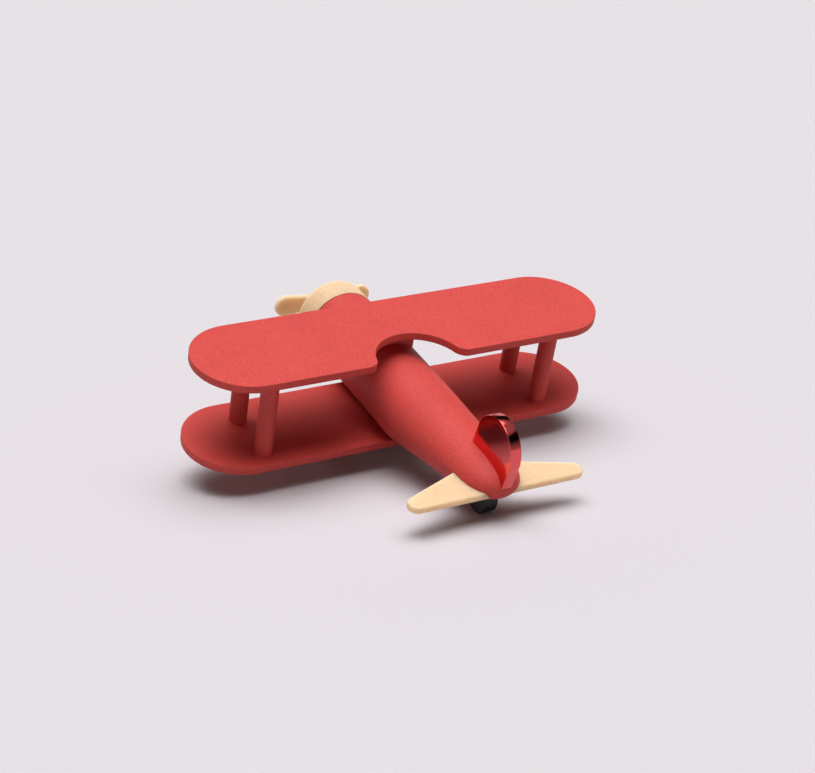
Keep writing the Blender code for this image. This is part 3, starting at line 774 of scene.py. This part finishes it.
class TOYBIPLANE_OT_pylon(ToyOperator, Operator):
    """Make the block between the fuselage and the upper wing"""

    bl_idname = "toybiplane.pylon"
    bl_label = "Wing block"

    def execute(self, context):
        s = self.settings.body
        top = -self.settings.wings.thickness
        let_in = 0.0003
        foot = s.axis_z + s.radius * 0.4
        points = block_points(s.pylon_half_width, (s.pylon_rear - s.pylon_length, foot),
                              (s.pylon_rear, top + let_in), SMALL_EASING)
        make_piece("wing_block", stand_up(points), "airframe", "red_paint", "Y", "wing_pylon")
        return {"FINISHED"}


class TOYBIPLANE_OT_nose(ToyOperator, Operator):
    """Make the nose cap and the propeller's peg"""

    bl_idname = "toybiplane.nose"
    bl_label = "Nose cap"

    def execute(self, context):
        s = self.settings.body
        g = self.settings.gear
        base = -s.front_y + s.nose_gap
        front = base + s.nose_length
        turn = np.linspace(0.0, QUARTER, 30)
        dome = np.stack([s.nose_radius * np.cos(turn), front - s.nose_dome * (1.0 - np.sin(turn))], axis=1)
        lip = 0.0002
        rim = arc((s.nose_radius - lip, base + lip), lip, -QUARTER, 0.0, 6)
        profile = np.concatenate([[(0.0, base)], rim, dome])
        profile[-1, 0] = 0.0
        points = turned_points(profile, 160, FORWARD, (0.0, 0.0, s.axis_z))
        cap = make_piece("nose_cap_wood", points, "airframe", "bare_wood", "Y", "nose_cap", sharp=60.0)
        cap.data.materials.append(finish_of("red_paint", "Y"))
        middles = np.empty(3 * len(cap.data.polygons))
        cap.data.polygons.foreach_get("center", middles)
        painted = np.abs(to_airframe(middles.reshape(-1, 3))[:, 1] + base) < 1e-5
        cap.data.polygons.foreach_set("material_index", painted.astype(np.int32))
        hub = to_airframe(joint_place("propeller_spin"))
        face = g.blade_thickness / 2 + TURNING_ROOM
        turn = np.linspace(0.0, QUARTER, 16)
        head = np.stack([g.peg_head_radius * np.cos(turn), face + g.peg_head_length * np.sin(turn)], axis=1)
        head[-1, 0] = 0.0
        sunk = -0.006
        stem = [(0.0, sunk), (g.peg_radius, sunk), (g.peg_radius, face),
                (g.peg_head_radius - TURNING_ROOM, face)]
        profile = np.concatenate([stem, head])
        points = turned_points(profile, 64, FORWARD, hub)
        make_piece("peg_wood", points, "airframe", "bare_wood", "Y", "propeller_peg")
        return {"FINISHED"}


class TOYBIPLANE_OT_propeller(ToyOperator, Operator):
    """Make the propeller: two blades with half-round tips, a round boss and eased edges"""

    bl_idname = "toybiplane.propeller"
    bl_label = "Propeller"

    def execute(self, context):
        g = self.settings.gear
        far = g.blade_half_span - g.tip_radius
        boss_x = math.sqrt(g.boss_radius ** 2 - g.root_half_chord ** 2)
        boss_turn = math.atan2(g.root_half_chord, boss_x)
        tip = arc((far, 0.0), g.tip_radius, -QUARTER, QUARTER, 52)
        upper = straight(tip[-1], (boss_x, g.root_half_chord), 30)
        boss = arc((0.0, 0.0), g.boss_radius, boss_turn, math.pi - boss_turn, 24)
        lower = straight(boss[-1], -tip[0], 30)
        half = np.concatenate([tip, upper, boss, lower])
        outline = np.concatenate([half, -half])
        spine = level_spine(np.clip(outline[:, 0], -far, far))
        easing = 0.0009
        points = plank_points(outline, spine, g.blade_thickness, g.blade_thickness / 2, easing)
        turn = g.rest_turn
        x = points[..., 0] * math.cos(turn) - points[..., 1] * math.sin(turn)
        z = points[..., 0] * math.sin(turn) + points[..., 1] * math.cos(turn)
        hub = to_airframe(joint_place("propeller_spin"))
        placed = np.stack([x + hub[0], points[..., 2] + hub[1], z + hub[2]], axis=-1)
        make_piece("propeller_blades", placed, "propeller", "bare_wood", "X", "propeller")
        return {"FINISHED"}


class TOYBIPLANE_OT_tail(ToyOperator, Operator):
    """Make the tailplane and the polished fin"""

    bl_idname = "toybiplane.tail"
    bl_label = "Tailplane and fin"

    def execute(self, context):
        t = self.settings.tail
        sweep = math.atan(t.sweep)
        tip = (t.half_span - t.tip_radius, t.rear_y - t.tip_radius)
        round_tip = arc(tip, t.tip_radius, sweep - QUARTER, QUARTER, 40)
        front = straight((0.0, t.apex_y), round_tip[0], 60)
        rear = straight(round_tip[-1], (0.0, t.rear_y), 60)
        port = np.concatenate([front, round_tip, rear])
        starboard = (port * [-1.0, 1.0])[::-1]
        outline = np.concatenate([port, [(0.0, t.rear_y)], starboard, [(0.0, t.apex_y)]])
        spine = level_spine(tip[0] * on_steps(outline[:, 0] / tip[0], 24), tip[1])
        points = plank_points(outline, spine, t.thickness, t.top_z, t.eased_edge)
        make_piece("tailplane_board", points, "airframe", "bare_wood", "X", "tailplane")
        head = arc((t.fin_y, t.fin_z), t.fin_radius, -t.fin_lean, math.pi - t.fin_lean, 96)
        slope = math.tan(t.fin_lean)
        rear_foot = (head[0, 0] - (head[0, 1] - t.fin_root) * slope, t.fin_root)
        front_foot = (head[-1, 0] - (head[-1, 1] - t.fin_root) * slope, t.fin_root)
        outline = np.concatenate([head, straight(head[-1], front_foot, 20), [front_foot],
                                  straight(front_foot, rear_foot, 30), [rear_foot],
                                  straight(rear_foot, head[0], 20)])
        foot = np.array([(rear_foot[0] + front_foot[0]) / 2, t.fin_root + 0.004])
        crown = np.array([t.fin_y, t.fin_z])
        share = ((outline - foot) @ (crown - foot)) / ((crown - foot) @ (crown - foot))
        spine = foot + on_steps(np.maximum(share, 0.0), 10)[:, None] * (crown - foot)
        easing = 0.00025
        points = plank_points(outline, spine, t.fin_thickness, t.fin_thickness / 2, easing)
        make_piece("polished_fin", stand_up(points), "airframe", "glossy_red_paint", "Y", "fin")
        return {"FINISHED"}


class TOYBIPLANE_OT_tail_wheel(ToyOperator, Operator):
    """Make the tail wheel, its pin and the two steel plates that hold it"""

    bl_idname = "toybiplane.tail_wheel"
    bl_label = "Tail wheel"

    def execute(self, context):
        t = self.settings.tail
        profile = wheel_profile(t.wheel_radius, t.wheel_width, t.pin_radius + TURNING_ROOM, 0.0026, 0.0005)
        points = turned_points(profile, 96, ACROSS, TAIL_HUB)
        make_piece("tail_tyre", points, "tail_wheel", "black_rubber", "Y", "tail_wheel")
        inner = t.wheel_width / 2 + t.slot_clearance
        outer = inner + t.cheek_thickness
        make_piece("wire_pin", rod_points(t.pin_radius, outer, 0.0002, 32, TAIL_HUB),
                   "airframe", "blackened_steel", "Y", "tail_wheel_pin")
        low = TAIL_HUB[2] - t.cheek_drop
        half = t.cheek_length / 2
        for side, x in (("port", inner), ("starboard", -outer)):
            points = stand_up(block_points(t.cheek_thickness / 2, (TAIL_HUB[1] - half, low),
                                           (TAIL_HUB[1] + half, low + t.cheek_height), 0.0004))
            points = points + [x + t.cheek_thickness / 2, 0.0, 0.0]
            make_piece("cheek_" + side, points,
                       "airframe", "blackened_steel", "Y", "tail_wheel_cheek_" + side)
        return {"FINISHED"}


class TOYBIPLANE_OT_main_wheels(ToyOperator, Operator):
    """Make the two main wheels, their axle and the carrier block"""

    bl_idname = "toybiplane.main_wheels"
    bl_label = "Main wheels"

    def execute(self, context):
        g = self.settings.gear
        hub = to_airframe(joint_place("main_wheels_spin"))
        profile = wheel_profile(g.wheel_radius, g.wheel_width, g.axle_radius, 0.0052, 0.0008)
        for side, x in (("port", g.wheel_x), ("starboard", -g.wheel_x)):
            points = turned_points(profile, 112, ACROSS, (x, hub[1], hub[2]))
            make_piece("tyre_" + side, points, "main_wheels", "black_rubber", "Y", "main_wheel_" + side)
        end = g.wheel_x + g.wheel_width / 2 + g.axle_overhang
        make_piece("axle_dowel", rod_points(g.axle_radius, end, SMALL_EASING, 48, hub),
                   "main_wheels", "bare_wood", "X", "main_axle")
        foot = arc((hub[1], hub[2]), g.carrier_foot, -math.pi, 0.0, 40)
        top = self.settings.body.axis_z - self.settings.body.radius / 2
        corner_rear, corner_front = (hub[1] + g.carrier_top, top), (hub[1] - g.carrier_top, top)
        outline = np.concatenate([foot, straight(foot[-1], corner_rear, 20), [corner_rear],
                                  straight(corner_rear, corner_front, 24), [corner_front],
                                  straight(corner_front, foot[0], 20)])
        spine = np.stack([np.full(len(outline), hub[1]),
                          np.clip(outline[:, 1], hub[2], top - 0.004)], axis=1)
        points = plank_points(outline, spine, 2 * g.carrier_half_width, g.carrier_half_width, SMALL_EASING)
        make_piece("carrier_block", stand_up(points), "airframe", "red_paint", "Z", "undercarriage_block")
        return {"FINISHED"}


class TOYBIPLANE_OT_stage(ToyOperator, Operator):
    """Lay the pale floor, hang the soft light and set up the camera"""

    bl_idname = "toybiplane.stage"
    bl_label = "Stage"

    def execute(self, context):
        s = self.settings.stage
        scene = context.scene
        scene.view_settings.view_transform = "Standard"
        half = s.floor_size / 2
        corners = [(-half, -half, 0.0), (half, -half, 0.0), (half, half, 0.0), (-half, half, 0.0)]
        mesh = bpy.data.meshes.new("floor_sheet")
        mesh.from_pydata(corners, [], [(0, 1, 2, 3)])
        floor = bpy.data.objects.new("floor_sheet", mesh)
        mesh.materials.append(stage_material("pale_floor", tuple(s.floor)))
        scene.collection.objects.link(floor)
        scene.world = studio_world(tuple(s.backdrop), s.horizon_glow, s.ceiling_glow)
        for name, elevation, turn, spread, strength, mirrored in SOFT_LIGHTS:
            lamp = bpy.data.lights.new(name, "SUN")
            lamp.energy = strength * s.light_strength
            lamp.angle = math.radians(spread)
            light = bpy.data.objects.new(name, lamp)
            tall, round_angle = math.radians(elevation), math.radians(turn)
            flat = math.cos(tall)
            towards = Vector((flat * math.sin(round_angle), flat * math.cos(round_angle), math.sin(tall)))
            light.rotation_euler = towards.to_track_quat("Z", "Y").to_euler()
            light.location = towards
            light.visible_glossy = mirrored
            scene.collection.objects.link(light)
        lens = bpy.data.cameras.new("photo_camera")
        lens.sensor_fit = "HORIZONTAL"
        lens.sensor_width = 36.0
        lens.lens = s.camera_focal_px / PHOTO_WIDTH * lens.sensor_width
        lens.clip_end = 100.0
        camera = bpy.data.objects.new("photo_camera", lens)
        camera.location = s.camera_place
        camera.rotation_euler = s.camera_turn
        scene.collection.objects.link(camera)
        scene.camera = camera
        return {"FINISHED"}


# Soft studio light as wide discs of sky: name, elevation, turn from aft towards port, spread,
# strength, and whether polished surfaces mirror it
SOFT_LIGHTS = (
    ("overhead_aft", 79.0, 0.0, 40.0, 1.28, True),
    ("overhead_port", 79.0, 60.0, 40.0, 1.05, True),
    ("overhead_front", 79.0, 180.0, 40.0, 0.24, True),
    ("high_aft_port", 68.0, 45.0, 32.0, 0.55, True),
    ("high_front_port", 68.0, 135.0, 24.0, 0.46, True),
    ("high_front_starboard", 68.0, 225.0, 24.0, 0.29, True),
    ("high_starboard", 68.0, 270.0, 24.0, 0.33, False),
    ("high_aft_starboard", 56.0, 315.0, 24.0, 0.26, False),
    ("low_port", 12.0, 90.0, 30.0, 0.10, True),
    ("low_front", 12.0, 180.0, 30.0, 0.45, True),
    ("low_front_starboard", 12.0, 225.0, 30.0, 0.15, True),
    ("low_aft_starboard", 12.0, 315.0, 30.0, 0.15, False),
)


class TOYBIPLANE_PT_panel(Panel):
    """The toy's operators and settings"""

    bl_label = "Toy Biplane"
    bl_idname = "TOYBIPLANE_PT_panel"
    bl_space_type = "VIEW_3D"
    bl_region_type = "UI"
    bl_category = "Toy Biplane"

    def draw(self, context):
        layout = self.layout
        column = layout.column(align=True)
        for operator in OPERATORS:
            column.operator(operator.bl_idname)
        settings = context.scene.toy_biplane
        for name in ("wings", "body", "tail", "gear", "finish", "stage"):
            group = getattr(settings, name)
            box = layout.box()
            box.label(text=name.capitalize())
            for field in group.bl_rna.properties:
                if not field.is_readonly and field.identifier != "name":
                    box.prop(group, field.identifier)


OPERATORS = (
    TOYBIPLANE_OT_stage,
    TOYBIPLANE_OT_wings,
    TOYBIPLANE_OT_struts,
    TOYBIPLANE_OT_fuselage,
    TOYBIPLANE_OT_pylon,
    TOYBIPLANE_OT_nose,
    TOYBIPLANE_OT_propeller,
    TOYBIPLANE_OT_tail,
    TOYBIPLANE_OT_tail_wheel,
    TOYBIPLANE_OT_main_wheels,
)

SETTINGS = (
    WingSettings,
    BodySettings,
    TailSettings,
    GearSettings,
    FinishSettings,
    StageSettings,
    ToyBiplaneSettings,
)


def register():
    """Register the settings, operators and panel."""
    for item in SETTINGS + OPERATORS + (TOYBIPLANE_PT_panel,):
        bpy.utils.register_class(item)
    bpy.types.Scene.toy_biplane = PointerProperty(type=ToyBiplaneSettings)


def unregister():
    """Take the settings, operators and panel away again."""
    del bpy.types.Scene.toy_biplane
    for item in reversed(SETTINGS + OPERATORS + (TOYBIPLANE_PT_panel,)):
        bpy.utils.unregister_class(item)


def main():
    """Register the add-on and make every piece."""
    register()
    for operator in OPERATORS:
        group, name = operator.bl_idname.split(".")
        getattr(getattr(bpy.ops, group), name)()


if __name__ == "__main__":
    main()
